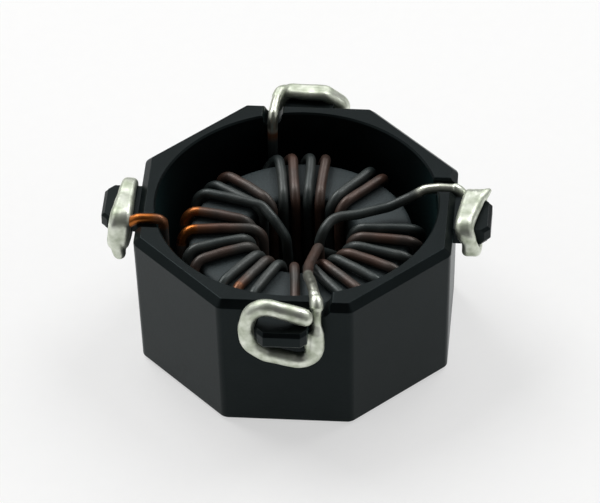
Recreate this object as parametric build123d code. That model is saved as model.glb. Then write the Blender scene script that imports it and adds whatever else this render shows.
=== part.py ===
"""Surface-mount inductor: a toroid with two wires wound side by side, in an open octagonal cup.

Millimetres. The closed floor of the cup lies on z = 0, the cup opens upwards, the axis of the
cup is the z axis and the face called front looks towards -y.
"""

import math
import os

from build123d import *

os.makedirs("parts", exist_ok=True)

# Enamelled wire, the room left round it, and how finely its bends are drawn
WIRE_DIAMETER = 0.36
WIRE_CLEARANCE = 0.03
WIRE_SIDES = 9
BEND_ANGLE = 31.0

# Toroid core with its coating
CORE_OUTER_DIAMETER = 7.87
CORE_INNER_DIAMETER = 3.96
CORE_HEIGHT = 3.18
CORE_EDGE = 0.30
CORE_SHIFT = 0.12

# Where each strand leaves the top of the core, in degrees anticlockwise from +x; the two wires
# take turns, the copper one first, but for one pair that has changed places
STRAND_ANGLES = (
    48, 56, 80, 88, 97, 104, 136, 145, 154, 169, 184, 200,
    209, 231, 240, 249, 272, 297, 306, 318, 330, 341, 353, 363,
)
WIRE_COUNT = 2
BORE_START_ANGLE = 48.0
BOTTOM_LAG_SHARE = 0.3
SIDE_RUN_ANGLE = 12.0
LEAD_RUN_ANGLE = 10.0

# Housing
FLOOR_THICKNESS = 0.45
WALL_THICKNESS = 0.59
RECESS_DEPTH = 1.01
CAVITY_CLEARANCE = 0.03
CAVITY_EDGE = 0.05
DRAFT_ANGLE = 1.7
CORNER_RADIUS = 0.30
BASE_EDGE = 0.12
RIM_EDGE = 0.25
BODY_SIDES = 8

# Moulded tabs, one on every other face below the bevel of the rim, and the wire slot beside each
TAB_WIDTH = 1.70
TAB_THICKNESS = 0.62
TAB_LENGTH = 1.27
TAB_CORNER = 0.22
TAB_EDGE = 0.12
SLOT_DEPTH = 0.48
SLOT_CLEARANCE = 0.07

# Wire ends, tinned where they cross the rim and thick with solder where they wrap the tabs
TINNED_DIAMETER = 0.42
SOLDERED_DIAMETER = 0.56
TAB_CLEARANCE = 0.06
WRAP_EASE = 0.20
WRAP_PITCH = 0.36
WRAP_SAG = 0.66
WRAP_RISE = 0.16
WRAP_END_SHARE = 0.7
WRAP_STEP_SHARES = (0.0, 0.15, 0.45, 0.7, 1.0)

# Leads between the turns and the rim
LEAD_BOW_SHARES = (0.45, 0.45)
LEAD_BEND = 0.22
LEAD_INSET = 0.75
CROSSING_RISE = 0.45

# Each tab: the turn of its face about z, how slack its wrap is and how far its lead stands up
FACES = {
    "right": {"turn": 0.0, "slack_share": 0.25, "rise_share": 0.15},
    "back": {"turn": 90.0, "slack_share": 0.10, "rise_share": 0.70},
    "left": {"turn": 180.0, "slack_share": 0.45, "rise_share": 0.45},
    "front": {"turn": -90.0, "slack_share": 1.0, "rise_share": 1.0},
}

# Each wire: its first strand, the faces of its two leads and the way its first lead goes round;
# the turns whose foot and top are not in its own slot, with how far inwards they pass the bore; and
# where its last lead stands under the core and then rises through the hole, by shares of the bore
# radius and of the rise
WIRES = {
    "winding_copper": {
        "first": 0,
        "start_face": "left",
        "swing_sign": 1,
        "end_face": "front",
        "swaps": {4: (8, 9, 0), 5: (11, 10, 1.15)},
        "foot_share": 0.72,
        "rise_shares": ((0.50, -0.57, 1.0),),
    },
    "winding_green": {
        "first": 1,
        "start_face": "back",
        "swing_sign": -1,
        "end_face": "right",
        "swaps": {4: (9, 8, 1.15), 5: (10, 11, 0)},
        "foot_share": 1.0,
        "rise_shares": ((0.83, 0.56, 0.35), (0.17, -0.44, 0.80), (0.36, -0.16, 0.97)),
    },
}

# Levels and radii that follow from the sizes above
strand_offset = WIRE_DIAMETER / 2 + WIRE_CLEARANCE
strand_pitch = WIRE_DIAMETER + WIRE_CLEARANCE
core_bottom = FLOOR_THICKNESS + WIRE_CLEARANCE + strand_pitch
core_top = core_bottom + CORE_HEIGHT
strand_low = core_bottom - strand_offset
strand_high = core_top + strand_offset
lead_level = strand_high + strand_pitch
rim_height = strand_high + WIRE_DIAMETER / 2 + RECESS_DEPTH
bore_radius = CORE_INNER_DIAMETER / 2 - strand_offset
side_radius = (CORE_OUTER_DIAMETER / 2 + strand_offset) / math.cos(math.radians(SIDE_RUN_ANGLE / 2))
strand_bend = CORE_EDGE + strand_offset
wound_radius = side_radius + WIRE_DIAMETER / 2
lead_outset = wound_radius + CORE_SHIFT + strand_offset
lead_radius = lead_outset / math.cos(math.radians(LEAD_RUN_ANGLE / 2))
cavity_radius = lead_radius + WIRE_DIAMETER / 2 + CAVITY_CLEARANCE
body_flat = cavity_radius + WALL_THICKNESS
tab_reach = body_flat + TAB_LENGTH
tab_top = rim_height - RIM_EDGE
tab_bottom = tab_top - TAB_THICKNESS
soldered_radius = SOLDERED_DIAMETER / 2
tab_seat = soldered_radius + TAB_CLEARANCE
slot_width = TINNED_DIAMETER + 2 * SLOT_CLEARANCE
slot_offset = TAB_WIDTH / 2 + tab_seat
slot_level = rim_height - SLOT_DEPTH + slot_width / 2
riser_distance = math.sqrt(lead_radius**2 - slot_offset**2)
joint_distance = riser_distance + LEAD_BEND + WIRE_CLEARANCE
wrap_distance = body_flat + tab_seat
wrap_start = slot_level - tab_seat
turn_count = len(STRAND_ANGLES) // WIRE_COUNT
bore_slots = len(STRAND_ANGLES) + WIRE_COUNT
slot_angle = 360 / bore_slots


def around(radius, angle, height):
    """Point at a radius and an angle in degrees about the axis of the core."""
    turn = math.radians(angle)
    return Vector(radius * math.cos(turn) + CORE_SHIFT, radius * math.sin(turn), height)


def on_face(face, distance, along, height):
    """Point given by its distance out from the axis and its place along a face of the cup."""
    return Vector(distance, along, height).rotate(Axis.Z, FACES[face]["turn"])


def crossing_level(face):
    """Height at which the wire of a face passes over the rim."""
    return slot_level + CROSSING_RISE * FACES[face]["rise_share"]


def bent(corners, radius):
    """Corner points with each sharp turn eased into a few short runs of the given bend."""
    eased = [corners[0]]
    for before, corner, after in zip(corners, corners[1:], corners[2:]):
        into = (corner - before).normalized()
        out = (after - corner).normalized()
        turn = math.acos(max(-1, min(1, into.dot(out))))
        count = math.ceil(math.degrees(turn) / BEND_ANGLE)
        if count < 2:
            eased.append(corner)
            continue
        step = turn / count
        half_run = radius * math.tan(step / 2)
        point = corner - into * (radius * math.tan(turn / 2)) + into * half_run
        eased.append(point)
        for index in range(1, count):
            swing = index * step
            heading = into * math.sin(turn - swing) + out * math.sin(swing)
            point = point + heading * (2 * half_run / math.sin(turn))
            eased.append(point)
    eased.append(corners[-1])
    return eased


def wire(points, diameter):
    """Solid wire of the given diameter with its middle along the points."""
    start = Plane(origin=points[0], z_dir=points[1] - points[0])
    section = start * RegularPolygon(diameter / 2, WIRE_SIDES)
    return sweep(section, path=Polyline(*points), transition=Transition.RIGHT)


def bore_angle(index):
    """Angle at which a strand passes through the bore."""
    return BORE_START_ANGLE + index * slot_angle


def foot_angle(index):
    """Angle at which a strand comes in under the core."""
    return bore_angle(index) - slot_angle * BOTTOM_LAG_SHARE


def side_run(start_angle, end_angle):
    """Points down the outside of the core, in runs too short to cut into it."""
    swing = end_angle - start_angle
    count = max(1, math.ceil(abs(swing) / SIDE_RUN_ANGLE))
    drop = strand_low - strand_high
    return [
        around(side_radius, start_angle + swing * step / count, strand_high + drop * step / count)
        for step in range(count + 1)
    ]


def slots(first, swaps):
    """Foot slot, top slot and inward share of each turn of one wire, and of its last lead."""
    places = []
    for turn in range(turn_count + 1):
        slot = first + turn * WIRE_COUNT
        places.append(swaps.get(turn, (slot, slot, 0)))
    return places


def turns(places):
    """Corner points of all the turns of one wire, as far as the foot that its last lead comes in by."""
    corners = []
    for (foot, top, inward), (next_foot, _, _) in zip(places, places[1:]):
        radius = bore_radius - strand_pitch * inward
        corners.append(around(radius, bore_angle(foot), strand_low))
        corners.append(around(radius, bore_angle(top), strand_high))
        corners += side_run(STRAND_ANGLES[top], foot_angle(next_foot))
    return corners


def start_lead(face, swing_sign, first):
    """Corner points from the slot of a face, down the cup wall and round to the first foot."""
    level = crossing_level(face)
    riser = on_face(face, riser_distance, slot_offset, level)
    foot = around(side_radius, foot_angle(first), strand_low)
    start_angle = math.degrees(math.atan2(riser.Y, riser.X))
    end_angle = math.degrees(math.atan2(foot.Y, foot.X))
    swing = (end_angle - start_angle) * swing_sign % 360 * swing_sign
    count = math.ceil(abs(swing) / LEAD_RUN_ANGLE)
    points = [on_face(face, joint_distance, slot_offset, level), riser]
    for step in range(count):
        turn = math.radians(start_angle + swing * step / count)
        points.append(Vector(lead_radius * math.cos(turn), lead_radius * math.sin(turn), strand_low))
    points.append(foot)
    return points


def end_lead(face, first, foot_share, rise_shares):
    """Corner points up through the hole and over the top of the turns to the slot of a face."""
    angle = bore_angle(first + len(STRAND_ANGLES))
    points = [around(bore_radius * foot_share, angle, strand_low)]
    for share_x, share_y, share_up in rise_shares:
        height = strand_low + (lead_level - strand_low) * share_up
        points.append(Vector(bore_radius * share_x + CORE_SHIFT, bore_radius * share_y, height))
    bow_out, bow_along = LEAD_BOW_SHARES
    points.append(on_face(face, joint_distance * bow_out, slot_offset * bow_along, lead_level))
    level = crossing_level(face)
    points.append(on_face(face, joint_distance - LEAD_INSET, slot_offset, level))
    points.append(on_face(face, joint_distance, slot_offset, level))
    return points


def winding(first, start_face, swing_sign, end_face, swaps, foot_share, rise_shares):
    """One whole wire: the lead in, its turns through the core and the lead out."""
    lead_in = bent(start_lead(start_face, swing_sign, first), LEAD_BEND)
    foot = lead_in.pop()
    lead_out = end_lead(end_face, first, foot_share, rise_shares)
    body = bent([lead_in.pop(), foot] + turns(slots(first, swaps)) + lead_out, strand_bend)
    return wire(lead_in + body, WIRE_DIAMETER)


def terminal(face):
    """Bare end of a wire, from the rim slot of a face once round the tab of that face."""
    slack = FACES[face]["slack_share"]
    bend = tab_seat + WRAP_EASE * slack
    level = crossing_level(face)
    low = tab_bottom - tab_seat - WRAP_SAG * slack
    high = tab_top + tab_seat + WRAP_RISE * slack
    crossing = [
        on_face(face, joint_distance, slot_offset, level),
        on_face(face, wrap_distance, slot_offset, level),
        on_face(face, wrap_distance, slot_offset, wrap_start),
    ]
    places = [
        (slot_offset, wrap_start),
        (slot_offset, low),
        (-slot_offset, low),
        (-slot_offset, high),
        (TAB_WIDTH / 2 * WRAP_END_SHARE, tab_top + tab_seat),
    ]
    wrap = [
        on_face(face, wrap_distance + WRAP_PITCH * share, along, height)
        for (along, height), share in zip(places, WRAP_STEP_SHARES)
    ]
    return wire(bent(crossing, LEAD_BEND), TINNED_DIAMETER) + wire(bent(wrap, bend), SOLDERED_DIAMETER)


def ring(profile):
    """Solid turned about the z axis from points given as radius and height."""
    return revolve(Plane.XZ * make_face(Polyline(*profile, close=True)), Axis.Z)


# Toroid core with its edges broken
core_in = CORE_INNER_DIAMETER / 2
core_out = CORE_OUTER_DIAMETER / 2
core = Pos(X=CORE_SHIFT) * ring([
    (core_in + CORE_EDGE, core_bottom),
    (core_out - CORE_EDGE, core_bottom),
    (core_out, core_bottom + CORE_EDGE),
    (core_out, core_top - CORE_EDGE),
    (core_out - CORE_EDGE, core_top),
    (core_in + CORE_EDGE, core_top),
    (core_in, core_top - CORE_EDGE),
    (core_in, core_bottom + CORE_EDGE),
])

# Octagonal cup, drafted so that it narrows towards its floor
outline = RegularPolygon(body_flat, BODY_SIDES, major_radius=False, rotation=180 / BODY_SIDES)
body = extrude(Pos(Z=rim_height) * outline, amount=-rim_height, taper=DRAFT_ANGLE)
body = fillet(body.edges().group_by(Axis.Z)[1], CORNER_RADIUS)
body = chamfer(body.faces().sort_by(Axis.Z)[0].edges(), BASE_EDGE)
body = chamfer(body.faces().sort_by(Axis.Z)[-1].edges(), RIM_EDGE)

# Tab with its outer corners cut off, drawn on the right-hand face
tab_root = cavity_radius + WALL_THICKNESS / 2
tab_half = TAB_WIDTH / 2
tab_plan = make_face(Polyline(
    (tab_root, -tab_half),
    (tab_reach - TAB_CORNER, -tab_half),
    (tab_reach, TAB_CORNER - tab_half),
    (tab_reach, tab_half - TAB_CORNER),
    (tab_reach - TAB_CORNER, tab_half),
    (tab_root, tab_half),
    close=True,
))
tab = extrude(Pos(Z=tab_bottom) * tab_plan, amount=TAB_THICKNESS)
tab = chamfer(tab.faces().sort_by(Axis.X)[-1].edges().filter_by(Axis.Y), TAB_EDGE)

# Round-bottomed slot through the wall beside the tab
slot_run = WALL_THICKNESS + cavity_radius - riser_distance
slot_middle = body_flat - slot_run / 2 + WALL_THICKNESS / 2
slot_plane = Plane(origin=(slot_middle, slot_offset, slot_level), x_dir=(0, 1, 0), z_dir=(1, 0, 0))
slot_shape = Circle(slot_width / 2)
slot_shape += Pos(Y=SLOT_DEPTH / 2) * Rectangle(slot_width, SLOT_DEPTH)
slot = extrude(slot_plane * slot_shape, amount=slot_run / 2 + WALL_THICKNESS / 2, both=True)

# The cavity, with a lead-in at its rim
cavity = ring([
    (0, FLOOR_THICKNESS),
    (cavity_radius - CAVITY_EDGE, FLOOR_THICKNESS),
    (cavity_radius, FLOOR_THICKNESS + CAVITY_EDGE),
    (cavity_radius, rim_height - CAVITY_EDGE),
    (cavity_radius + CAVITY_EDGE, rim_height),
    (0, rim_height),
])

housing = body
for face in FACES:
    housing += Rot(Z=FACES[face]["turn"]) * tab
housing -= cavity
for face in FACES:
    housing -= Rot(Z=FACES[face]["turn"]) * slot

# The two wires and their four ends round the tabs
parts = {"housing": housing, "core": core}
for name in WIRES:
    parts[name] = winding(**WIRES[name])
for face in FACES:
    parts[f"terminal_{face}"] = terminal(face)
for name, solid in parts.items():
    export_step(solid, f"parts/{name}.step")
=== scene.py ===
"""Looks of the surface-mount inductor: an open octagonal cup, a coated toroid and two wires.

Lengths inside the classes are in millimetres, in the frame of the CAD model: +Z up out of the open
cup, the front face towards -Y. Meshes are brought to metres when they are finished.
"""

import itertools
import logging
import math
import random
from dataclasses import dataclass, field
from enum import Enum

import bpy
from mathutils import Matrix, Vector


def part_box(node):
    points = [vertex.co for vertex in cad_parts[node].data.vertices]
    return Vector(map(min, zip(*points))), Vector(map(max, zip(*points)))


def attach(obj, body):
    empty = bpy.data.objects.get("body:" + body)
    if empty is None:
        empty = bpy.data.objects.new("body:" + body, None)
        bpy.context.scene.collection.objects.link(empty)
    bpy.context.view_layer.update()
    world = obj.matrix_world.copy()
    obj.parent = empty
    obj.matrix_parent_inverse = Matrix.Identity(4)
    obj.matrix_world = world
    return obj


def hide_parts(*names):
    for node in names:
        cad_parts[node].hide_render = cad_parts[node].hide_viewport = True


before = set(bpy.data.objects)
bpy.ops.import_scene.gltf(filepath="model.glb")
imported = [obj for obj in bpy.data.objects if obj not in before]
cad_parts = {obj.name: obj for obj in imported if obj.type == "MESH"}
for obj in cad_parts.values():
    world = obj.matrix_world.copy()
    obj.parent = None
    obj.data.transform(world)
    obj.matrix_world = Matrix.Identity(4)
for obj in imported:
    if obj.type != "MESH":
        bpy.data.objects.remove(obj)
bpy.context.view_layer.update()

MM = 0.001
SEED = 7
# Noise seldom leaves this range, so a Map Range node spreads it over the whole of what it drives
CONTRAST = {"From Min": 0.3, "From Max": 0.7}
log = logging.getLogger("inductor")

Value = bpy.types.NodeSocket | float | str | tuple[float, ...]
Pair = tuple[float, float]
Bow = tuple[tuple[float, float, float], ...]
Route = tuple[tuple[float, float, float, float], ...]
Lead = tuple[tuple[float, float, float, float, float], ...]


class Face(Enum):
    """Faces of the cup that carry a tab, by the turn of the face about Z in degrees."""

    RIGHT = 0.0
    BACK = 90.0
    LEFT = 180.0
    FRONT = -90.0

    def at(self, out: float, along: float, height: float) -> Vector:
        """Gives a point in the frame from its place on this face.

        Args:
            out: Distance from the axis of the cup.
            along: Place along the face, anticlockwise seen from above.
            height: Height above the floor of the cup.

        Returns:
            The point, in millimetres.
        """
        return Matrix.Rotation(math.radians(self.value), 3, "Z") @ Vector((out, along, height))


def linear(code: str) -> tuple[float, float, float, float]:
    """Turns an sRGB hex colour into the linear colour that a node socket takes.

    Args:
        code: Six hex digits after a hash sign.

    Returns:
        Red, green, blue and an alpha of one.
    """
    parts = [int(code[place : place + 2], 16) / 255 for place in (1, 3, 5)]
    red, green, blue = (p / 12.92 if p <= 0.04045 else ((p + 0.055) / 1.055) ** 2.4 for p in parts)
    return (red, green, blue, 1.0)


def feed(node: bpy.types.Node, inputs: dict[int | str, Value]) -> None:
    """Links or sets sockets of a node.

    Args:
        node: Node that takes the values.
        inputs: Socket names or indices, each with an output socket to link or a constant to set.
    """
    for key, value in inputs.items():
        socket = node.inputs[key]
        if isinstance(value, bpy.types.NodeSocket):
            node.id_data.links.new(value, socket)
        else:
            socket.default_value = value


def add_node(
    tree: bpy.types.NodeTree, kind: str, inputs: dict[int | str, Value] | None = None, **settings: object
) -> bpy.types.Node:
    """Adds a node with its settings, constants and links.

    Args:
        tree: Tree that takes the node.
        kind: Type name of the node.
        inputs: Socket names or indices, each with an output socket to link or a constant to set.
        **settings: Properties of the node itself.

    Returns:
        The new node.
    """
    node = tree.nodes.new(kind)
    for name, value in settings.items():
        setattr(node, name, value)
    feed(node, inputs or {})
    return node


def hang(piece: bpy.types.Object, tree: bpy.types.NodeTree, values: dict[str, object]) -> None:
    """Hangs a Geometry Nodes tree on a piece and sets its inputs by their identifiers.

    Args:
        piece: Piece that takes the modifier.
        tree: Tree of the modifier.
        values: Values of the tree's inputs, by name.
    """
    modifier = piece.modifiers.new(tree.name, "NODES")
    modifier.node_group = tree
    for item in tree.interface.items_tree:
        if item.name in values:
            modifier[item.identifier] = values[item.name]


def bake(piece: bpy.types.Object) -> bpy.types.Mesh:
    """Turns what the modifiers of a piece make into its plain mesh.

    Args:
        piece: Piece with modifiers.

    Returns:
        The new mesh of the piece.
    """
    graph = bpy.context.evaluated_depsgraph_get()
    mesh = bpy.data.meshes.new_from_object(piece.evaluated_get(graph), depsgraph=graph)
    piece.modifiers.clear()
    piece.data = mesh
    return mesh


def new_piece(
    name: str, places: list[Vector], faces: list[tuple[int, ...]], edges: list[tuple[int, int]] | None = None
) -> bpy.types.Object:
    """Makes a piece from its corners and its faces or edges.

    Args:
        name: Name of the new object.
        places: Corners.
        faces: Corner numbers of each face.
        edges: Corner numbers of each edge that belongs to no face.

    Returns:
        The piece, in the unit of its corners.
    """
    mesh = bpy.data.meshes.new(name)
    mesh.from_pydata(places, edges or [], faces)
    piece = bpy.data.objects.new(name, mesh)
    bpy.context.scene.collection.objects.link(piece)
    return piece


def stacked(name: str, rings: list[list[Vector]], closed: bool = False) -> bpy.types.Object:
    """Makes a closed piece from rings of as many corners each.

    Args:
        name: Name of the new object.
        rings: Rings in order, upwards on the outside, each anticlockwise seen from above.
        closed: Whether the last ring joins the first one; both are filled otherwise.

    Returns:
        The piece, in millimetres.
    """
    count, total = len(rings[0]), len(rings)
    last = (total - 1) * count
    faces = [] if closed else [tuple(reversed(range(count)))]
    for row in range(total if closed else total - 1):
        low, high = row * count, (row + 1) % total * count
        for step in range(count):
            after = (step + 1) % count
            faces.append((low + step, low + after, high + after, high + step))
    if not closed:
        faces.append(tuple(range(last, last + count)))
    return new_piece(name, [place for ring in rings for place in ring], faces)


def rounded(profile: list[Pair], radius: float, steps: int = 4) -> list[Vector]:
    """Rounds the inner corners of an open profile.

    Args:
        profile: Corners of the profile.
        radius: Radius of the rounding, less where the sides are short.
        steps: Runs in each rounding.

    Returns:
        The points of the rounded profile.
    """
    corners = [Vector(corner) for corner in profile]
    points = [corners[0]]
    for before, corner, after in zip(corners, corners[1:], corners[2:]):
        into, out = before - corner, after - corner
        angle = into.angle(out)
        reach = min(radius / math.tan(angle / 2), into.length / 2, out.length / 2)
        start, end = corner + into.normalized() * reach, corner + out.normalized() * reach
        for step in range(steps + 1):
            share = step / steps
            points.append(start.lerp(corner, share).lerp(corner.lerp(end, share), share))
    points.append(corners[-1])
    return points


def turned(radius: float, height: float, count: int) -> list[Vector]:
    """Gives the points of a level circle about the axis of the cup.

    Args:
        radius: Radius of the circle.
        height: Height above the floor.
        count: How many points.

    Returns:
        The points, anticlockwise seen from above.
    """
    turns = (math.tau * step / count for step in range(count))
    return [Vector((radius * math.cos(turn), radius * math.sin(turn), height)) for turn in turns]


@dataclass(frozen=True)
class Finish:
    """What every finish has: the name of the real material and the two colours of its ground.

    A pattern of a finish is the size of its features in millimetres and its octaves.
    """

    name: str
    dark: str = "#000000"
    pale: str = "#ffffff"

    def start(
        self, *grains: Pair
    ) -> tuple[bpy.types.Material, bpy.types.Node, bpy.types.NodeSocket, list[bpy.types.NodeSocket]]:
        """Makes a material with its patterns and its ground colour.

        Args:
            *grains: Patterns of the finish, of which the first one mixes the ground colour.

        Returns:
            The material, its shader, the ground colour and the patterns, from 0 to 1.
        """
        material = bpy.data.materials.new(self.name)
        material.use_nodes = True
        tree = material.node_tree
        place = add_node(tree, "ShaderNodeTexCoord").outputs["Object"]
        patterns = []
        for size, octaves in grains:
            inputs = {"Vector": place, "Scale": 1 / (size * MM), "Detail": octaves}
            patterns.append(add_node(tree, "ShaderNodeTexNoise", inputs).outputs["Fac"])
        share = add_node(tree, "ShaderNodeMapRange", {"Value": patterns[0], **CONTRAST}).outputs[0]
        # The colours of a Mix node are its sockets 6 and 7, and the mixed colour is its output 2
        inputs = {0: share, 6: linear(self.dark), 7: linear(self.pale)}
        colour = add_node(tree, "ShaderNodeMix", inputs, data_type="RGBA").outputs[2]
        return material, tree.nodes["Principled BSDF"], colour, patterns


@dataclass(frozen=True)
class GrainedFinish(Finish):
    """A finish whose roughness and relief follow its patterns."""

    roughness: Pair = (0.5, 0.5)
    relief_depth: float = 0.01
    relief_strength: float = 0.5

    def texture(
        self, shader: bpy.types.Node, roughening: bpy.types.NodeSocket, raised: bpy.types.NodeSocket
    ) -> None:
        """Gives a shader its roughness and its relief.

        Args:
            shader: Shader of the material.
            roughening: Pattern that the roughness follows.
            raised: Pattern that stands out of the surface.
        """
        tree = shader.id_data
        low, high = self.roughness
        inputs = {"Value": roughening, **CONTRAST, "To Min": low, "To Max": high}
        rough = add_node(tree, "ShaderNodeMapRange", inputs).outputs[0]
        inputs = {"Height": raised, "Distance": self.relief_depth * MM, "Strength": self.relief_strength}
        bump = add_node(tree, "ShaderNodeBump", inputs).outputs[0]
        feed(shader, {"Roughness": rough, "Normal": bump})


@dataclass(frozen=True)
class MouldedPlastic(GrainedFinish):
    """Black glass-filled thermoplastic, moulded: a dull, faintly mottled skin that greys at a slant."""

    dark: str = "#070909"
    pale: str = "#0e1112"
    mottle: Pair = (1.4, 4.0)
    grain: Pair = (0.06, 3.0)
    roughness: Pair = (0.28, 0.38)
    mirror: float = 0.15
    mirror_tint: str = "#d8f8fc"
    sheen: float = 0.05
    sheen_roughness: float = 0.35
    sheen_tint: str = "#8fd8dc"
    relief_depth: float = 0.008
    relief_strength: float = 0.5

    def build(self) -> bpy.types.Material:
        """Builds the material.

        Returns:
            The finished material.
        """
        material, shader, colour, (_, grain) = self.start(self.mottle, self.grain)
        self.texture(shader, grain, grain)
        feed(shader, {"Base Color": colour})
        feed(shader, {"Specular IOR Level": self.mirror, "Specular Tint": linear(self.mirror_tint)})
        feed(shader, {"Sheen Weight": self.sheen, "Sheen Roughness": self.sheen_roughness})
        feed(shader, {"Sheen Tint": linear(self.sheen_tint)})
        return material


@dataclass(frozen=True)
class CoatedPowderCore(GrainedFinish):
    """Pressed metal-powder core under a thin matte coating, dark blue-grey and finely speckled."""

    dark: str = "#2b3335"
    pale: str = "#3f494b"
    speck: Pair = (0.07, 3.0)
    cloud: Pair = (0.9, 3.0)
    cloud_share: float = 0.35
    roughness: Pair = (0.55, 0.75)
    mirror: float = 0.3
    relief_depth: float = 0.012
    relief_strength: float = 0.7

    def build(self) -> bpy.types.Material:
        """Builds the material.

        Returns:
            The finished material.
        """
        material, shader, ground, (speck, cloud) = self.start(self.speck, self.cloud)
        self.texture(shader, speck, speck)
        tree = material.node_tree
        inputs = {"Value": cloud, **CONTRAST, "To Max": self.cloud_share}
        share = add_node(tree, "ShaderNodeMapRange", inputs).outputs[0]
        inputs = {0: share, 6: ground, 7: linear(self.dark)}
        colour = add_node(tree, "ShaderNodeMix", inputs, data_type="RGBA").outputs[2]
        feed(shader, {"Base Color": colour, "Specular IOR Level": self.mirror})
        return material


@dataclass(frozen=True)
class EnamelledWire(Finish):
    """Copper wire under baked enamel, stripped bare or tinned where the wire's attributes say so; on a few
    outer bends of the turns the bare copper is partly a painted highlight where light catches them.
    """

    worn: str = "#434745"
    sheen: float = 0.35
    bare: str = "#a9642f"
    tin: str = "#cfd2c4"
    run: Pair = (0.7, 3.0)
    wear: Pair = (2.2, 2.0)
    wear_start: float = 0.42
    wear_end: float = 0.62
    wear_share: float = 0.75
    skin: Pair = (0.12, 2.0)
    enamel_roughness: Pair = (0.36, 0.48)
    metal_roughness: Pair = (0.30, 0.42)
    relief_depth: float = 0.006
    relief_strength: float = 0.3

    def build(self) -> bpy.types.Material:
        """Builds the material.

        Returns:
            The finished material.
        """
        material, shader, colour, (_, skin, wear) = self.start(self.run, self.skin, self.wear)
        tree = material.node_tree
        bare = add_node(tree, "ShaderNodeAttribute", attribute_name="bare").outputs["Fac"]
        tin = add_node(tree, "ShaderNodeAttribute", attribute_name="tin").outputs["Fac"]
        span = {"From Min": self.wear_start, "From Max": self.wear_end, "To Max": self.wear_share}
        worn = add_node(tree, "ShaderNodeMapRange", {"Value": wear, **span}).outputs[0]
        for cover, code in ((worn, self.worn), (bare, self.bare), (tin, self.tin)):
            inputs = {0: cover, 6: colour, 7: linear(code)}
            colour = add_node(tree, "ShaderNodeMix", inputs, data_type="RGBA").outputs[2]
        stripped = add_node(tree, "ShaderNodeMath", {0: bare, 1: tin}, operation="MAXIMUM").outputs[0]
        metal = add_node(tree, "ShaderNodeMapRange", {"Value": stripped, "To Min": self.sheen}).outputs[0]
        ends = []
        for low, high in (self.enamel_roughness, self.metal_roughness):
            inputs = {"Value": skin, **CONTRAST, "To Min": low, "To Max": high}
            ends.append(add_node(tree, "ShaderNodeMapRange", inputs).outputs[0])
        inputs = {"Factor": stripped, "A": ends[0], "B": ends[1]}
        rough = add_node(tree, "ShaderNodeMix", inputs, data_type="FLOAT").outputs[0]
        inputs = {"Height": skin, "Distance": self.relief_depth * MM, "Strength": self.relief_strength}
        bump = add_node(tree, "ShaderNodeBump", inputs).outputs[0]
        feed(shader, {"Base Color": colour, "Metallic": metal, "Roughness": rough, "Normal": bump})
        return material


@dataclass(frozen=True)
class TinSolder(GrainedFinish):
    """Tin-lead solder drawn over the bare wire, bright with duller frozen patches."""

    dark: str = "#b0b8a4"
    pale: str = "#e6eade"
    patch: Pair = (0.42, 3.0)
    ripple: Pair = (0.16, 2.0)
    roughness: Pair = (0.56, 0.36)
    relief_depth: float = 0.02
    relief_strength: float = 0.40

    def build(self) -> bpy.types.Material:
        """Builds the material.

        Returns:
            The finished material.
        """
        material, shader, colour, (patch, ripple) = self.start(self.patch, self.ripple)
        self.texture(shader, patch, ripple)
        feed(shader, {"Base Color": colour, "Metallic": 1.0})
        return material


@dataclass(frozen=True)
class PaleCard(Finish):
    """White matte card under the part, paler to the camera and where it is mirrored."""

    dark: str = "#f8f8f7"
    pale: str = "#fafaf9"
    fibre: Pair = (0.5, 3.0)
    roughness: float = 0.9
    mirror: float = 0.1
    glow: float = 0.55

    def build(self) -> bpy.types.Material:
        """Builds the material.

        Returns:
            The finished material.
        """
        material, shader, colour, _ = self.start(self.fibre)
        tree = material.node_tree
        feed(shader, {"Base Color": colour, "Roughness": self.roughness, "Specular IOR Level": self.mirror})
        path = add_node(tree, "ShaderNodeLightPath").outputs
        seen = path["Is Camera Ray"]
        for kind in ("Is Glossy Ray", "Is Transmission Ray"):
            inputs = {0: seen, 1: path[kind]}
            seen = add_node(tree, "ShaderNodeMath", inputs, operation="MAXIMUM").outputs[0]
        share = add_node(tree, "ShaderNodeMath", {0: seen, 1: self.glow}, operation="MULTIPLY").outputs[0]
        white = add_node(tree, "ShaderNodeEmission", {"Strength": 1.0}).outputs[0]
        inputs = {0: share, 1: shader.outputs[0], 2: white}
        mixed = add_node(tree, "ShaderNodeMixShader", inputs).outputs[0]
        feed(tree.nodes["Material Output"], {"Surface": mixed})
        material.cycles.emission_sampling = "NONE"
        return material


@dataclass
class WirePoint:
    """A corner of a wire's path with the bend there and what has been done to the wire."""

    place: Vector
    bend: float
    girth: float = 1.0
    bare: float = 0.0
    tin: float = 0.0


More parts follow.
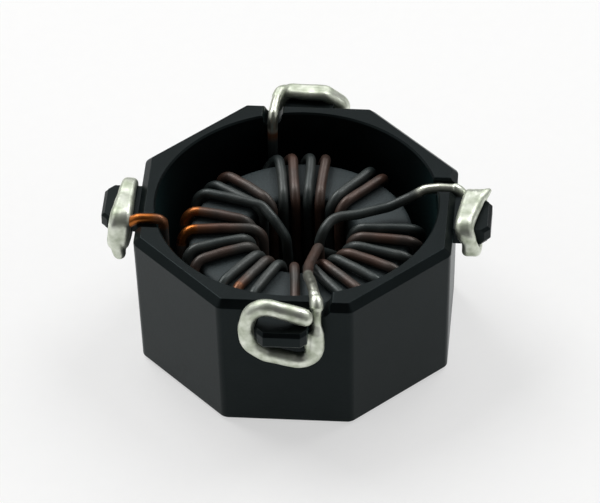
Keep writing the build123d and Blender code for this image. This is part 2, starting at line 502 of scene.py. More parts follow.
class WireTree:
    """Geometry Nodes tree that draws a round wire along a path of straight edges."""

    INPUTS = (
        ("Radius", "NodeSocketFloat"),
        ("Sides", "NodeSocketInt"),
        ("Step", "NodeSocketFloat"),
        ("Wobble", "NodeSocketFloat"),
        ("Wobble Size", "NodeSocketFloat"),
        ("Material", "NodeSocketMaterial"),
    )
    MARKS = ("bend", "girth", "bare", "tin")
    BEND_RUNS = 8
    NOISE_MIDDLE = (0.5, 0.5, 0.5)
    SETTLE_FACTOR = 0.5
    SETTLE_ROUNDS = 14

    def __init__(self) -> None:
        """Builds the tree once for all the wires."""
        tree = bpy.data.node_groups.new("wire_along_path", "GeometryNodeTree")
        tree.interface.new_socket("Path", in_out="INPUT", socket_type="NodeSocketGeometry")
        for name, kind in self.INPUTS:
            tree.interface.new_socket(name, in_out="INPUT", socket_type=kind)
        tree.interface.new_socket("Wire", in_out="OUTPUT", socket_type="NodeSocketGeometry")
        given = add_node(tree, "NodeGroupInput").outputs
        bend = add_node(tree, "GeometryNodeInputNamedAttribute", {"Name": "bend"}).outputs[0]
        girth = add_node(tree, "GeometryNodeInputNamedAttribute", {"Name": "girth"}).outputs[0]
        curve = add_node(tree, "GeometryNodeMeshToCurve", {"Mesh": given["Path"]}).outputs[0]
        inputs = {"Curve": curve, "Radius": bend, "Limit Radius": True}
        curve = add_node(tree, "GeometryNodeFilletCurve", inputs, mode="POLY")
        feed(curve, {"Count": self.BEND_RUNS})
        inputs = {"Curve": curve.outputs[0], "Length": given["Step"]}
        curve = add_node(tree, "GeometryNodeResampleCurve", inputs, mode="LENGTH").outputs[0]
        inputs = {0: 1.0, 1: given["Wobble Size"]}
        near = add_node(tree, "ShaderNodeMath", inputs, operation="DIVIDE").outputs[0]
        noise = add_node(tree, "ShaderNodeTexNoise", {"Scale": near, "Detail": 1.0}).outputs["Color"]
        inputs = {0: noise, 1: self.NOISE_MIDDLE}
        shift = add_node(tree, "ShaderNodeVectorMath", inputs, operation="SUBTRACT").outputs[0]
        inputs = {0: shift, "Scale": given["Wobble"]}
        shift = add_node(tree, "ShaderNodeVectorMath", inputs, operation="SCALE").outputs[0]
        curve = add_node(tree, "GeometryNodeSetPosition", {"Geometry": curve, "Offset": shift}).outputs[0]
        inputs = {"Resolution": given["Sides"], "Radius": given["Radius"]}
        section = add_node(tree, "GeometryNodeCurvePrimitiveCircle", inputs).outputs[0]
        inputs = {"Curve": curve, "Profile Curve": section, "Scale": girth, "Fill Caps": True}
        mesh = add_node(tree, "GeometryNodeCurveToMesh", inputs).outputs[0]
        mesh = add_node(tree, "GeometryNodeSetShadeSmooth", {"Geometry": mesh}).outputs[0]
        mesh = add_node(tree, "GeometryNodeRealizeInstances", {"Geometry": mesh}).outputs[0]
        inputs = {"Geometry": mesh, "Material": given["Material"]}
        mesh = add_node(tree, "GeometryNodeSetMaterial", inputs).outputs[0]
        add_node(tree, "NodeGroupOutput", {0: mesh})
        self.tree = tree

    def path(self, name: str, runs: list[list[WirePoint]]) -> bpy.types.Object:
        """Makes the path of a wire as rows of edges that carry the marks of their points.

        Args:
            name: Name of the new object.
            runs: Corners of each run of the path in order.

        Returns:
            The path object, in millimetres.
        """
        points = [point for run in runs for point in run]
        ends = set(itertools.accumulate(len(run) for run in runs))
        edges = [(i, i + 1) for i in range(len(points) - 1) if i + 1 not in ends]
        piece = new_piece(name, [p.place for p in points], [], edges)
        for mark in self.MARKS:
            attribute = piece.data.attributes.new(mark, "FLOAT", "POINT")
            attribute.data.foreach_set("value", [getattr(p, mark) for p in points])
        return piece

    def draw(
        self, name: str, runs: list[list[WirePoint]], values: dict[str, object], melt: float = 0.0
    ) -> bpy.types.Object:
        """Draws one wire and leaves it as a plain mesh in metres.

        Args:
            name: Name of the new piece.
            runs: Corners of each run of the path in order.
            values: Values of the tree's inputs, by name.
            melt: Grain in millimetres to which touching runs are melted together, 0 for none.

        Returns:
            The finished piece.
        """
        piece = self.path(name, runs)
        hang(piece, self.tree, values)
        if melt:
            remesh = piece.modifiers.new("melt", "REMESH")
            remesh.mode = "VOXEL"
            remesh.voxel_size = melt
            remesh.use_smooth_shade = True
            smooth = piece.modifiers.new("settle", "SMOOTH")
            smooth.factor = self.SETTLE_FACTOR
            smooth.iterations = self.SETTLE_ROUNDS
        mesh = bake(piece)
        if not mesh.materials:
            mesh.materials.append(values["Material"])
        mesh.transform(Matrix.Scale(MM, 4))
        return piece


class AxisTree:
    """Geometry Nodes tree that sets copies of a shape evenly round the axis of the cup."""

    def __init__(self) -> None:
        """Builds the tree once for all that stands on every other face."""
        tree = bpy.data.node_groups.new("copies_round_axis", "GeometryNodeTree")
        tree.interface.new_socket("Shape", in_out="INPUT", socket_type="NodeSocketGeometry")
        tree.interface.new_socket("Count", in_out="INPUT", socket_type="NodeSocketInt")
        tree.interface.new_socket("Material", in_out="INPUT", socket_type="NodeSocketMaterial")
        tree.interface.new_socket("Copies", in_out="OUTPUT", socket_type="NodeSocketGeometry")
        given = add_node(tree, "NodeGroupInput").outputs
        shape = add_node(tree, "GeometryNodeGeometryToInstance", {0: given["Shape"]}).outputs[0]
        inputs = {"Geometry": shape, "Amount": given["Count"]}
        copies = add_node(tree, "GeometryNodeDuplicateElements", inputs, domain="INSTANCE").outputs
        inputs = {0: math.tau, 1: given["Count"]}
        step = add_node(tree, "ShaderNodeMath", inputs, operation="DIVIDE").outputs[0]
        inputs = {0: copies["Duplicate Index"], 1: step}
        turn = add_node(tree, "ShaderNodeMath", inputs, operation="MULTIPLY").outputs[0]
        turn = add_node(tree, "ShaderNodeCombineXYZ", {"Z": turn}).outputs[0]
        inputs = {"Instances": copies[0], "Rotation": turn, "Local Space": False}
        copies = add_node(tree, "GeometryNodeRotateInstances", inputs).outputs[0]
        mesh = add_node(tree, "GeometryNodeRealizeInstances", {"Geometry": copies}).outputs[0]
        inputs = {"Geometry": mesh, "Material": given["Material"]}
        mesh = add_node(tree, "GeometryNodeSetMaterial", inputs).outputs[0]
        add_node(tree, "NodeGroupOutput", {0: mesh})
        self.tree = tree

    def repeat(self, piece: bpy.types.Object, count: int, material: bpy.types.Material) -> None:
        """Sets copies of a piece round the axis, all in its own mesh.

        Args:
            piece: Piece drawn on the right-hand face.
            count: How many there are in all.
            material: Material of the copies.
        """
        hang(piece, self.tree, {"Count": count, "Material": material})
        bake(piece)


@dataclass
class Housing:
    """The moulded cup: a drafted octagon with a round cavity, four tabs and a wire slot beside each."""

    sides: int = 8
    corner_steps: int = 6
    slot_steps: int = 16
    slot_edge_steps: int = 6
    sharp_angle: float = 24.0
    flat: float = 5.496
    draft: float = 1.7
    corner: float = 0.36
    base_edge: float = 0.12
    rim_edge: float = 0.25
    floor: float = 0.45
    cavity_radius: float = 4.906
    cavity_edge: float = 0.06
    tab_width: float = 1.70
    tab_thickness: float = 0.62
    tab_corner: float = 0.22
    tab_edge: float = 0.12
    slot_along: float = 1.24
    slot_width: float = 0.64
    slot_depth: float = 0.48
    slot_edge: float = 0.10
    overrun: float = 0.3
    softness: float = 0.04
    rim_softness: float = 0.05
    segments: int = 192
    finish: MouldedPlastic = field(default_factory=lambda: MouldedPlastic("glass_filled_black_plastic"))

    def __post_init__(self) -> None:
        """Reads the height of the rim and the reach of the tabs from the frame."""
        high = Vector(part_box("housing")[1]) / MM
        self.rim, self.reach = high.z, high.x
        self.tab_top = self.rim - self.rim_edge

    def outline(self, inset: float, height: float) -> list[Vector]:
        """Gives the rounded octagon of the cup at a height.

        Args:
            inset: Distance inside the drafted faces.
            height: Height above the floor.

        Returns:
            The points of the octagon.
        """
        inner = self.flat - (self.rim - height) * math.tan(math.radians(self.draft)) - inset
        radius = max(self.corner - inset, self.softness)
        points = []
        sector = 360 / self.sides
        for side in range(self.sides):
            middle = math.radians(side * sector + sector / 2)
            reach = (inner - radius) / math.cos(math.radians(sector / 2))
            for step in range(self.corner_steps + 1):
                turn = math.radians(side * sector + sector * step / self.corner_steps)
                x = reach * math.cos(middle) + radius * math.cos(turn)
                y = reach * math.sin(middle) + radius * math.sin(turn)
                points.append(Vector((x, y, height)))
        return points

    def body(self) -> bpy.types.Object:
        """Makes the solid octagon.

        Returns:
            The piece, in millimetres.
        """
        foot = [(self.flat, 0.0), (self.base_edge, 0.0), (0.0, self.base_edge), (0.0, self.tab_top)]
        top = [(0.0, self.base_edge), (0.0, self.tab_top), (self.rim_edge, self.rim), (self.flat, self.rim)]
        points = rounded(foot, self.softness)[1:-1] + rounded(top, self.rim_softness)[1:-1]
        return stacked("cup", [self.outline(inset, height) for inset, height in points])

    def cavity(self) -> bpy.types.Object:
        """Makes the round shape of the cavity.

        Returns:
            The piece, in millimetres.
        """
        profile = [
            (self.cavity_radius, self.floor),
            (self.cavity_radius, self.rim - self.cavity_edge),
            (self.cavity_radius + self.cavity_edge, self.rim),
            (self.cavity_radius + self.cavity_edge, self.rim + self.overrun),
        ]
        return stacked("cavity", [turned(radius, height, self.segments) for radius, height in profile])

    def tab(self) -> bpy.types.Object:
        """Makes the tab of the right-hand face, its outer corners and edges broken.

        Returns:
            The piece, in millimetres.
        """
        half, root = self.tab_width / 2, self.cavity_radius + self.overrun
        low = self.tab_top - self.tab_thickness
        profile = [
            (self.tab_edge, low - self.overrun),
            (self.tab_edge, low),
            (0.0, low + self.tab_edge),
            (0.0, self.tab_top - self.tab_edge),
            (self.tab_edge, self.tab_top),
            (self.tab_edge, self.tab_top + self.overrun),
        ]
        rings = []
        for inset, height in rounded(profile, self.softness)[1:-1]:
            reach = self.reach - inset
            plan = [
                (root, -half),
                (reach - self.tab_corner, -half),
                (reach, self.tab_corner - half),
                (reach, half - self.tab_corner),
                (reach - self.tab_corner, half),
                (root, half),
            ]
            rings.append([Vector((x, y, height)) for x, y in rounded(plan, self.softness)])
        return stacked("tabs", rings)

    def slot(self) -> bpy.types.Object:
        """Makes the round-bottomed shape of the slot beside the right-hand tab.

        Returns:
            The piece, in millimetres.
        """
        radius = self.slot_width / 2
        level = self.rim - self.slot_depth + radius
        lip, shoulder = radius + self.slot_edge, self.rim - self.slot_edge
        edge, count = self.slot_edge, self.slot_edge_steps
        turns = [math.pi / 2 + math.pi / 2 * step / count for step in range(count + 1)]
        flare = [(lip + edge * math.cos(turn), shoulder + edge * math.sin(turn)) for turn in turns]
        section = [(lip, self.rim + self.overrun), *flare]
        section += [
            (radius * math.cos(turn), level + radius * math.sin(turn))
            for turn in (-math.pi * step / self.slot_steps for step in range(self.slot_steps + 1))
        ]
        section += [(-along, height) for along, height in reversed(flare)]
        section.append((-lip, self.rim + self.overrun))
        ends = (self.cavity_radius - self.overrun, self.flat + self.overrun)
        rings = [[Vector((x, self.slot_along - y, z)) for y, z in section] for x in ends]
        return stacked("slots", rings)

    def build(self, axis: AxisTree) -> bpy.types.Object:
        """Makes the cup in place of its CAD solid.

        Args:
            axis: Tree that repeats what stands on every other face.

        Returns:
            The finished piece.
        """
        plastic = self.finish.build()
        piece, tabs, slots, cavity = self.body(), self.tab(), self.slot(), self.cavity()
        axis.repeat(tabs, len(Face), plastic)
        axis.repeat(slots, len(Face), plastic)
        for tool, operation in ((tabs, "UNION"), (cavity, "DIFFERENCE"), (slots, "DIFFERENCE")):
            cut = piece.modifiers.new(tool.name, "BOOLEAN")
            cut.operation = operation
            cut.solver = "EXACT"
            cut.object = tool
        mesh = bake(piece)
        for tool in (tabs, slots, cavity):
            bpy.data.objects.remove(tool)
        mesh.shade_smooth()
        mesh.set_sharp_from_angle(angle=math.radians(self.sharp_angle))
        weighted = piece.modifiers.new("normals", "WEIGHTED_NORMAL")
        weighted.keep_sharp = True
        mesh = bake(piece)
        mesh.materials.clear()
        mesh.materials.append(plastic)
        mesh.transform(Matrix.Scale(MM, 4))
        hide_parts("housing")
        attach(piece, "root")
        return piece


@dataclass
class Core:
    """The coated toroid, and the levels that the wires take from it."""

    bore_diameter: float = 3.96
    edge: float = 0.30
    edge_steps: int = 8
    segments: int = 192
    finish: CoatedPowderCore = field(default_factory=lambda: CoatedPowderCore("coated_powder_core"))

    def __post_init__(self) -> None:
        """Reads the toroid's place from the frame."""
        low, high = (Vector(corner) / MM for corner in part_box("core"))
        self.axis = Vector(((low.x + high.x) / 2, (low.y + high.y) / 2, 0.0))
        self.bottom, self.top = low.z, high.z
        self.outer_radius = (high.x - low.x) / 2

    def build(self) -> bpy.types.Object:
        """Turns the toroid in place of its CAD solid.

        Returns:
            The finished piece.
        """
        inner, outer = self.bore_diameter / 2, self.outer_radius
        middle = (inner + outer) / 2
        profile = [
            (middle, self.bottom),
            (outer, self.bottom),
            (outer, self.top),
            (inner, self.top),
            (inner, self.bottom),
            (middle, self.bottom),
        ]
        points = rounded(profile, self.edge, self.edge_steps)[:-1]
        rings = [turned(radius, height, self.segments) for radius, height in points]
        piece = stacked("toroid", [[place + self.axis for place in ring] for ring in rings], closed=True)
        piece.data.shade_smooth()
        piece.data.materials.append(self.finish.build())
        piece.data.transform(Matrix.Scale(MM, 4))
        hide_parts("core")
        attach(piece, "root")
        return piece


@dataclass
class Coil:
    """Sizes that both wires share and the way a strand runs through the toroid."""

    core: Core
    wire_diameter: float = 0.36
    clearance: float = 0.03
    bend: float = 0.5
    top_bend: float = 2.0
    lead_bend: float = 0.22
    sway: float = 0.05
    lift: float = 0.04
    strand_angles: tuple[float, ...] = (
        48, 56, 81.5, 89.5, 98.5, 105.5, 136, 145, 154, 169, 184, 200,
        209, 231, 240, 249, 272, 297, 306, 318, 330, 341, 353, 363,
    )
    bore_start: float = 45.5
    bottom_lag: float = 0.3
    # Bare copper on a few outer bends runs this far down the outside and fades towards the top: partly a
    # painted highlight where light catches those bends
    bare_glint_drop: float = 0.5
    fade_place_share: float = 0.6
    fade_share: float = 0.3
    side_run: float = 12.0
    lead_run: float = 10.0
    slot_along: float = 1.19
    riser_out: float = 4.542
    lead_radius: float = 4.696

    def __post_init__(self) -> None:
        """Works out the levels of the strands."""
        offset = self.wire_diameter / 2 + self.clearance
        self.low = self.core.bottom - offset
        self.high = self.core.top + offset
        self.bore_radius = self.core.bore_diameter / 2 - offset
        self.side_radius = (self.core.outer_radius + offset) / math.cos(math.radians(self.side_run / 2))
        self.slot_angle = 360 / (len(self.strand_angles) + 2)

    def around(self, radius: float, angle: float, height: float) -> Vector:
        """Gives a point about the axis of the toroid.

        Args:
            radius: Distance from the axis.
            angle: Angle in degrees, anticlockwise from +X.
            height: Height above the floor of the cup.

        Returns:
            The point, in millimetres.
        """
        turn = math.radians(angle)
        return self.core.axis + Vector((radius * math.cos(turn), radius * math.sin(turn), height))

    def bore_angle(self, index: int) -> float:
        """Gives the angle at which a strand passes through the bore.

        Args:
            index: Number of the strand.

        Returns:
            The angle in degrees.
        """
        return self.bore_start + index * self.slot_angle

    def places(self, first: int, swaps: dict[int, tuple[int, int, float]]) -> list[tuple[int, int, float]]:
        """Gives the slots of the turns of one wire and of its last lead.

        Args:
            first: Slot of the first turn.
            swaps: Turns that are not in the wire's own slot.

        Returns:
            Foot slot, top slot and how many wires inwards the turn passes the bore, for each turn.
        """
        slots = range(first, len(self.strand_angles) + 2, 2)
        return [swaps.get(turn, (slot, slot, 0.0)) for turn, slot in enumerate(slots)]

    def strand(
        self, place: tuple[int, int, float], onward: int, bow: Bow, rng: random.Random, bare: float
    ) -> list[WirePoint]:
        """Gives the corners of one turn: up the bore, over the top and down the outside.

        Args:
            place: Foot slot, top slot and wires inwards.
            onward: Foot slot of the next turn.
            bow: Radius, angle and height of the corners of a loose strand in the bore.
            rng: Source of the small differences between strands.
            bare: How much bare copper its outer bend gets, partly a painted highlight where light catches
                the bend.

        Returns:
            The corners, as far as the foot under the toroid.
        """
        below, above, inward = place
        radius = self.bore_radius - (self.wire_diameter + self.clearance) * inward
        bore, out = self.bore_angle(above), self.strand_angles[above]
        foot = self.bore_angle(onward) - self.slot_angle * self.bottom_lag
        rise = [self.around(*corner) for corner in bow] or [self.around(radius, bore, self.high)]
        middle = (rise[-1] + self.around(self.side_radius, out, self.high)) / 2
        middle.z = self.high
        side = self.around(1.0, (bore + out) / 2 + 90, 0.0) - self.core.axis
        middle += side * rng.uniform(-self.sway, self.sway)
        middle += Vector((0.0, 0.0, rng.uniform(0.0, self.lift)))
        points = [WirePoint(self.around(radius, self.bore_angle(below), self.low), self.bend)]
        points += [WirePoint(corner, self.bend) for corner in rise]
        points.append(WirePoint(middle, self.top_bend))
        corner = self.around(self.side_radius, out, self.high)
        # The bare copper of a listed outer bend is partly a painted highlight where light catches the bend;
        # it fades out over the top
        fading = middle.lerp(corner, self.fade_place_share)
        points.append(WirePoint(fading, self.top_bend, bare=bare * self.fade_share))
        count = max(1, math.ceil(abs(foot - out) / self.side_run))
        shares = [step / count for step in range(count + 1)]
        # The bare copper, partly a painted highlight, holds only this short drop down the outside below the
        # bend
        shares.insert(1, self.bare_glint_drop / (self.high - self.low))
        for share in shares:
            level = self.high + (self.low - self.high) * share
            corner = self.around(self.side_radius, out + (foot - out) * share, level)
            points.append(WirePoint(corner, self.bend, bare=0.0 if share else bare))
        return points


@dataclass
class Winding:
    """One enamelled wire: its lead in from a tab, its turns and its lead out to another tab."""

    name: str
    node: str
    record_slot: str
    coil: Coil
    finish: EnamelledWire
    first: int
    start_face: Face
    swing: int
    crossing: Lead
    end_face: Face
    foot_share: float
    lead_out: Lead
    swaps: dict[int, tuple[int, int, float]]
    bows: dict[int, Bow] = field(default_factory=dict)
    # Bare copper on the outer bend of these top slots, partly a painted highlight
    bare_glint_bends: dict[int, float] = field(default_factory=dict)
    sides: int = 16
    step: float = 0.08
    wobble: float = 0.05
    wobble_size: float = 1.1

    def lead_in(self) -> list[WirePoint]:
        """Gives the corners from the tab over the rim, down the wall and round to the first turn.

        Returns:
            The corners, as far as the first foot.
        """
        coil = self.coil
        points = []
        for out, along, height, bare, tin in self.crossing:
            place = self.start_face.at(out, along, height)
            points.append(WirePoint(place, coil.lead_bend, bare=bare, tin=tin))
        riser = points[-1].place
        angle = coil.bore_angle(self.first) - coil.slot_angle * coil.bottom_lag
        foot = coil.around(coil.side_radius, angle, coil.low)
        start = math.degrees(math.atan2(riser.y, riser.x))
        end = math.degrees(math.atan2(foot.y, foot.x))
        swing = (end - start) * self.swing % 360 * self.swing
        count = math.ceil(abs(swing) / coil.lead_run)
        for step in range(count):
            turn = math.radians(start + swing * step / count)
            place = Vector((coil.lead_radius * math.cos(turn), coil.lead_radius * math.sin(turn), coil.low))
            points.append(WirePoint(place, coil.lead_bend))
        points.append(WirePoint(foot, coil.bend))
        return points

    def points(self) -> list[WirePoint]:
        """Gives all the corners of the wire.

        Returns:
            The corners from one tab to the other.
        """
        coil = self.coil
        rng = random.Random(SEED + self.first)
        points = self.lead_in()
        places = coil.places(self.first, self.swaps)
        for place, onward in zip(places, places[1:]):
            top = place[1]
            points += coil.strand(place, onward[0], self.bows.get(top, ()), rng, self.bare_glint_bends.get(top, 0.0))
        angle = coil.bore_angle(self.first + len(coil.strand_angles))
        foot = coil.around(coil.bore_radius * self.foot_share, angle, coil.low)
        points.append(WirePoint(foot, coil.bend))
        for out, along, height, bend, tin in self.lead_out:
            points.append(WirePoint(self.end_face.at(out, along, height), bend, tin=tin))
        return points

    def build(self, tree: WireTree) -> bpy.types.Object:
        """Draws the wire in place of its CAD solid.

        Args:
            tree: Tree that draws wires.

        Returns:
            The finished piece.
        """
        values = {
            "Radius": self.coil.wire_diameter / 2,
            "Sides": self.sides,
            "Step": self.step,
            "Wobble": self.wobble,
            "Wobble Size": self.wobble_size,
            "Material": self.finish.build(),
        }
        piece = tree.draw(self.name, [self.points()], values)
        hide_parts(self.node)
        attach(piece, "root")
        return piece


@dataclass
class SolderedWrap:
    """Bare wire end wound round a tab and run over with solder."""

    face: Face
    routes: tuple[Route, ...]
    bend: float = 0.34
    melt: float = 0.035
    sides: int = 20
    step: float = 0.05
    wobble: float = 0.10
    wobble_size: float = 0.9

    def build(self, tree: WireTree, solder: bpy.types.Material) -> bpy.types.Object:
        """Draws the wrap in place of its CAD solid.

        Args:
            tree: Tree that draws wires.
            solder: Material of the wrap.

        Returns:
            The finished piece.
        """
        runs = []
        for route in self.routes:
            corners = [(self.face.at(out, along, height), radius) for out, along, height, radius in route]
            runs.append([WirePoint(place, self.bend, girth=radius) for place, radius in corners])
        side = self.face.name.lower()
        values = {
            "Radius": 1.0,
            "Sides": self.sides,
            "Step": self.step,
            "Wobble": self.wobble,
            "Wobble Size": self.wobble_size,
            "Material": solder,
        }
        piece = tree.draw(f"soldered_wrap_{side}", runs, values, self.melt)
        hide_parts(f"terminal_{side}")
        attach(piece, "root")
        return piece


def band(corners: Lead, count: int) -> tuple[Route, ...]:
    """Lays closed turns side by side round a tab.

    Args:
        corners: Distance out of the first and of the last turn, place along the face, height and
            wire radius at each corner, in order round the tab.
        count: How many turns.

    Returns:
        The routes of the turns.
    """
    routes = []
    for turn in range(count):
        share = turn / max(1, count - 1)
        ring = [Vector((near + (far - near) * share, *rest)) for near, far, *rest in corners]
        seam = (ring[-1] + ring[0]) / 2
        routes.append(tuple(tuple(corner) for corner in (seam, *ring, seam)))
    return tuple(routes)


@dataclass
class SoftBox:
    """A studio lamp aimed at the part, by its direction and distance from it, its sides and its power."""

    name: str
    azimuth: float
    elevation: float
    distance: float
    width: float
    height: float
    power: float

    def build(self) -> None:
        """Hangs the lamp."""
        lamp = bpy.data.lights.new(self.name, "AREA")
        lamp.shape = "RECTANGLE"
        lamp.size = self.width
        lamp.size_y = self.height
        lamp.energy = self.power
        turn, tilt = math.radians(self.azimuth), math.radians(self.elevation)
        way = Vector((math.cos(turn) * math.cos(tilt), math.sin(turn) * math.cos(tilt), math.sin(tilt)))
        piece = bpy.data.objects.new(self.name, lamp)
        piece.location = way * self.distance
        piece.rotation_euler = way.to_track_quat("Z", "Y").to_euler()
        bpy.context.scene.collection.objects.link(piece)


@dataclass
class Studio:
    """Pale floor, soft light and the camera at the angle of the photo."""

    lamps: tuple[SoftBox, ...]
    sky: float = 0.05
    floor_size: float = 1.2
    yaw: float = 5.411
    elevation: float = 40.288
    roll: float = -1.402
    distance: float = 195.94
    aim: tuple[float, float, float] = (0.0, 0.0, 2.605)
    slide: Pair = (0.0614, 0.4581)
    lens: float = 335.96
    sensor: float = 36.0
    nearest: float = 0.01

    def floor(self) -> None:
        """Lays the pale card under the part."""
        half = self.floor_size / 2
        sides = ((-half, -half), (half, -half), (half, half), (-half, half))
        piece = new_piece("floor", [Vector((x, y, 0.0)) for x, y in sides], [(0, 1, 2, 3)])
        piece.data.materials.append(PaleCard("white_card").build())

    def light(self) -> None:
        """Sets the even light of the room and hangs the lamps."""
        world = bpy.data.worlds.new("studio")
        world.use_nodes = True
        feed(world.node_tree.nodes["Background"], {"Color": linear("#ffffff"), "Strength": self.sky})
        bpy.context.scene.world = world
        for lamp in self.lamps:
            lamp.build()

    def camera(self) -> None:
        """Stands the camera where the photo was taken from."""
        yaw, tilt, roll = (math.radians(angle) for angle in (self.yaw, self.elevation, self.roll))
        back = Vector((math.sin(yaw) * math.cos(tilt), -math.cos(yaw) * math.cos(tilt), math.sin(tilt)))
        level = (-back).cross(Vector((0.0, 0.0, 1.0))).normalized()
        upright = level.cross(-back)
        right = level * math.cos(roll) + upright * math.sin(roll)
        up = upright * math.cos(roll) - level * math.sin(roll)
        place = Vector(self.aim) + back * self.distance + right * self.slide[0] + up * self.slide[1]
        data = bpy.data.cameras.new("camera")
        data.sensor_fit = "HORIZONTAL"
        data.sensor_width = self.sensor
        data.lens = self.lens
        data.clip_start = self.nearest
        data.dof.use_dof = False
        piece = bpy.data.objects.new("camera", data)
        pose = Matrix((right, up, back)).transposed().to_4x4()
        pose.translation = place * MM
        piece.matrix_world = pose
        bpy.context.scene.collection.objects.link(piece)
        bpy.context.scene.camera = piece
        bpy.context.scene.view_settings.view_transform = "Standard"

    def build(self) -> None:
        """Sets up the whole studio."""
        self.floor()
        self.light()
        self.camera()


def windings(coil: Coil) -> tuple[Winding, Winding]:
    """Lays out the two wires.

    Args:
        coil: Sizes that both wires share.

    Returns:
        The copper-coloured wire and the grey-green wire.
    """
    along = coil.slot_along
    copper = Winding(
        name="copper_wire",
        node="winding_copper",
        record_slot="copper_enamel",
        coil=coil,
        finish=EnamelledWire("copper_enamel_wire", dark="#442f26", pale="#5b443a", sheen=0.3),
        first=0,
        start_face=Face.LEFT,
        swing=1,
        crossing=(
            (5.96, along, 4.80, 1.0, 0.0),
            (5.76, along, 5.24, 1.0, 0.0),
            (5.42, along, 5.46, 1.0, 0.0),
            (5.00, along, 5.48, 1.0, 0.0),
            (coil.riser_out, along, 5.46, 0.5, 0.0),
            (coil.riser_out, along, 5.10, 0.0, 0.0),
        ),
        end_face=Face.FRONT,
        foot_share=0.72,
        lead_out=(
            (0.98, 0.84, 3.20, 0.3, 0.0),
            (1.02, 0.84, 4.40, 0.4, 0.0),
            (2.50, 0.60, 4.72, 0.8, 0.0),
            (3.10, 0.62, 4.86, 0.8, 0.0),
            (3.38, 0.66, 4.98, 0.8, 1.0),
            (3.80, 0.76, 5.20, 0.8, 1.0),
            (4.63, 0.92, 5.50, 0.8, 1.0),
            (5.10, 1.04, 5.60, 0.5, 1.0),
            (5.36, 1.09, 5.585, 0.0, 1.0),
        ),
        swaps={4: (8, 9, 0.0), 5: (11, 10, 1.15)},
        # Outer bends with bare copper, partly a painted highlight where light catches them
        bare_glint_bends={9: 0.8, 10: 1.0, 14: 0.35},
    )
    green = Winding(
        name="green_wire",
        node="winding_green",
        record_slot="green_enamel",
        coil=coil,
        finish=EnamelledWire("green_enamel_wire", dark="#262e2e", pale="#3c4443", sheen=0.25),
        first=1,
        start_face=Face.BACK,
        swing=-1,
        crossing=(
            (6.16, 0.90, 5.50, 0.0, 1.0),
            (5.85, 1.10, 5.60, 0.0, 1.0),
            (5.30, 1.15, 5.60, 0.0, 1.0),
            (coil.riser_out, 1.20, 5.57, 0.0, 1.0),
            (coil.riser_out, 1.22, 5.10, 0.0, 1.0),
            (coil.riser_out, 1.23, 4.84, 0.5, 0.0),
            (coil.riser_out, 1.23, 4.50, 0.0, 0.0),
        ),
        end_face=Face.RIGHT,
        foot_share=1.0,
        lead_out=(
            (1.589, 0.99, 2.06, 0.5, 0.0),
            (0.74, 0.02, 3.25, 0.4, 0.0),
            (0.79, -0.27, 3.90, 0.3, 0.0),
            (0.92, -0.14, 4.32, 0.3, 0.0),
            (1.22, 0.36, 4.52, 0.8, 0.0),
            (2.05, 0.58, 4.50, 0.8, 0.0),
            (3.15, 0.98, 4.56, 0.8, 0.0),
            (3.90, 1.16, 4.90, 0.6, 0.0),
            (4.12, 1.18, 5.06, 0.5, 0.1),
            (4.36, along, 5.23, 0.5, 1.0),
            (4.90, along, 5.32, 0.5, 1.0),
            (5.58, along, 5.30, 0.25, 1.0),
            (5.84, along, 4.8, 0.0, 1.0),
        ),
        swaps={4: (9, 8, 1.15), 5: (10, 11, 0.0)},
        bows={8: ((0.58, 147.0, 2.4), (0.68, 143.5, 3.45), (1.25, 143.4, 4.0), (1.90, 141.0, coil.high))},
    )
    return copper, green


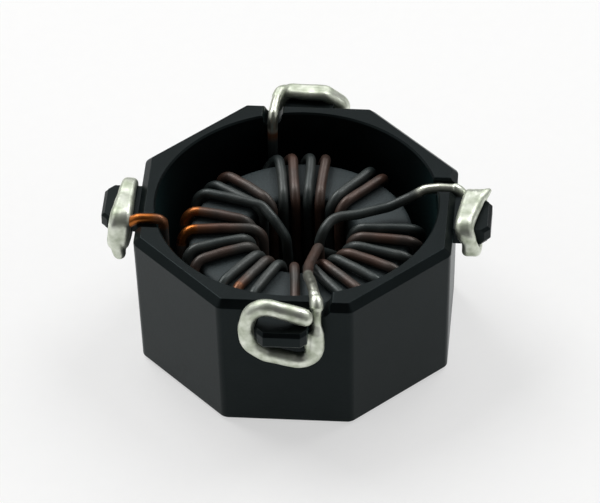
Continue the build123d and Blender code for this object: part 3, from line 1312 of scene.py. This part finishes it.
def wraps() -> tuple[SolderedWrap, ...]:
    """Lays out the four wraps, each by distance out, place along the face, height and wire radius.

    Returns:
        The wraps of the four tabs.
    """
    front = SolderedWrap(
        Face.FRONT,
        (
            (
                (4.80, 0.97, 5.55, 0.16),
                (5.10, 1.04, 5.60, 0.205),
                (5.46, 1.11, 5.56, 0.245),
                (5.70, 1.12, 5.30, 0.17),
                (5.76, 1.12, 4.96, 0.17),
                (5.86, 1.14, 4.50, 0.25),
                (5.92, 1.10, 3.48, 0.28),
                (5.95, 0.45, 3.41, 0.28),
                (6.00, -0.60, 3.68, 0.28),
                (6.03, -1.22, 4.15, 0.28),
                (6.05, -1.28, 4.90, 0.28),
                (6.08, -1.10, 5.62, 0.29),
                (6.10, -0.62, 5.88, 0.30),
                (6.11, 0.10, 5.70, 0.30),
                (6.12, 0.66, 5.51, 0.32),
                (6.12, 0.80, 5.46, 0.30),
                (6.11, 0.91, 5.43, 0.24),
                (6.10, 0.99, 5.40, 0.15),
                (6.09, 1.03, 5.39, 0.05),
            ),
            (
                (5.82, 1.06, 4.72, 0.16),
                (5.80, 0.98, 4.40, 0.19),
                (5.82, 0.86, 4.05, 0.20),
                (5.92, 1.00, 3.60, 0.22),
            ),
        ),
        bend=0.6,
    )
    right = SolderedWrap(
        Face.RIGHT,
        (
            *band(
                (
                    (5.96, 6.42, 1.03, 5.40, 0.20),
                    (5.75, 5.90, -1.13, 5.43, 0.25),
                    (6.02, 6.14, -1.14, 4.85, 0.205),
                    (5.98, 6.28, -1.10, 4.28, 0.20),
                    (5.92, 6.26, 1.03, 4.34, 0.20),
                ),
                3,
            ),
            (
                (5.28, 1.19, 5.33, 0.15),
                (5.58, 1.19, 5.31, 0.205),
                (5.70, 1.12, 5.04, 0.23),
                (5.84, 1.03, 4.66, 0.23),
            ),
            ((6.28, 0.50, 5.41, 0.20), (6.50, 0.84, 5.44, 0.17), (6.68, 1.02, 5.47, 0.06)),
        ),
    )
    back = SolderedWrap(
        Face.BACK,
        (
            *band(
                (
                    (6.02, 6.30, 0.84, 5.43, 0.19),
                    (5.96, 6.26, -0.56, 5.42, 0.21),
                    (6.00, 6.22, -1.18, 4.86, 0.26),
                    (6.00, 6.20, -1.06, 4.34, 0.22),
                    (6.00, 6.20, 1.04, 4.34, 0.22),
                    (6.04, 6.22, 1.12, 4.80, 0.24),
                ),
                3,
            ),
            (
                (5.32, 1.15, 5.60, 0.15),
                (5.60, 1.13, 5.60, 0.20),
                (5.92, 1.06, 5.60, 0.20),
                (6.22, 0.80, 5.45, 0.18),
            ),
        ),
    )
    left = SolderedWrap(
        Face.LEFT,
        (
            *band(
                (
                    (5.80, 5.97, -1.03, 5.40, 0.19),
                    (5.84, 6.05, -1.03, 4.34, 0.19),
                    (6.00, 6.30, 1.30, 4.22, 0.23),
                    (5.86, 6.20, 1.28, 5.43, 0.235),
                ),
                3,
            ),
            (
                (6.12, 1.30, 4.70, 0.25),
                (6.14, 1.33, 4.22, 0.25),
                (6.08, 1.34, 3.96, 0.235),
                (6.03, 1.34, 3.80, 0.15),
            ),
        ),
    )
    return front, right, back, left


def main() -> None:
    """Builds the scene in order and reports it."""
    logging.basicConfig(level=logging.INFO, format="%(name)s: %(message)s")
    core = Core()
    pieces = [Housing().build(AxisTree()), core.build()]
    tree = WireTree()
    pieces += [winding.build(tree) for winding in windings(Coil(core))]
    solder = TinSolder("tin_solder").build()
    pieces += [wrap.build(tree, solder) for wrap in wraps()]
    for piece in pieces:
        log.info("%s: %d faces", piece.name, len(piece.data.polygons))
    Studio(
        lamps=(
            SoftBox("softbox_back_left", 136.0, 50.0, 0.34, 0.20, 0.20, 0.68),
            SoftBox("softbox_back_right", 50.0, 50.0, 0.34, 0.20, 0.20, 0.48),
            SoftBox("softbox_left", 186.0, 32.0, 0.34, 0.36, 0.30, 0.22),
            SoftBox("softbox_right", 356.0, 32.0, 0.34, 0.34, 0.30, 0.16),
            SoftBox("card_back", 93.0, 38.0, 0.34, 0.40, 0.14, 0.16),
        ),
    ).build()


if __name__ == "__main__":
    main()
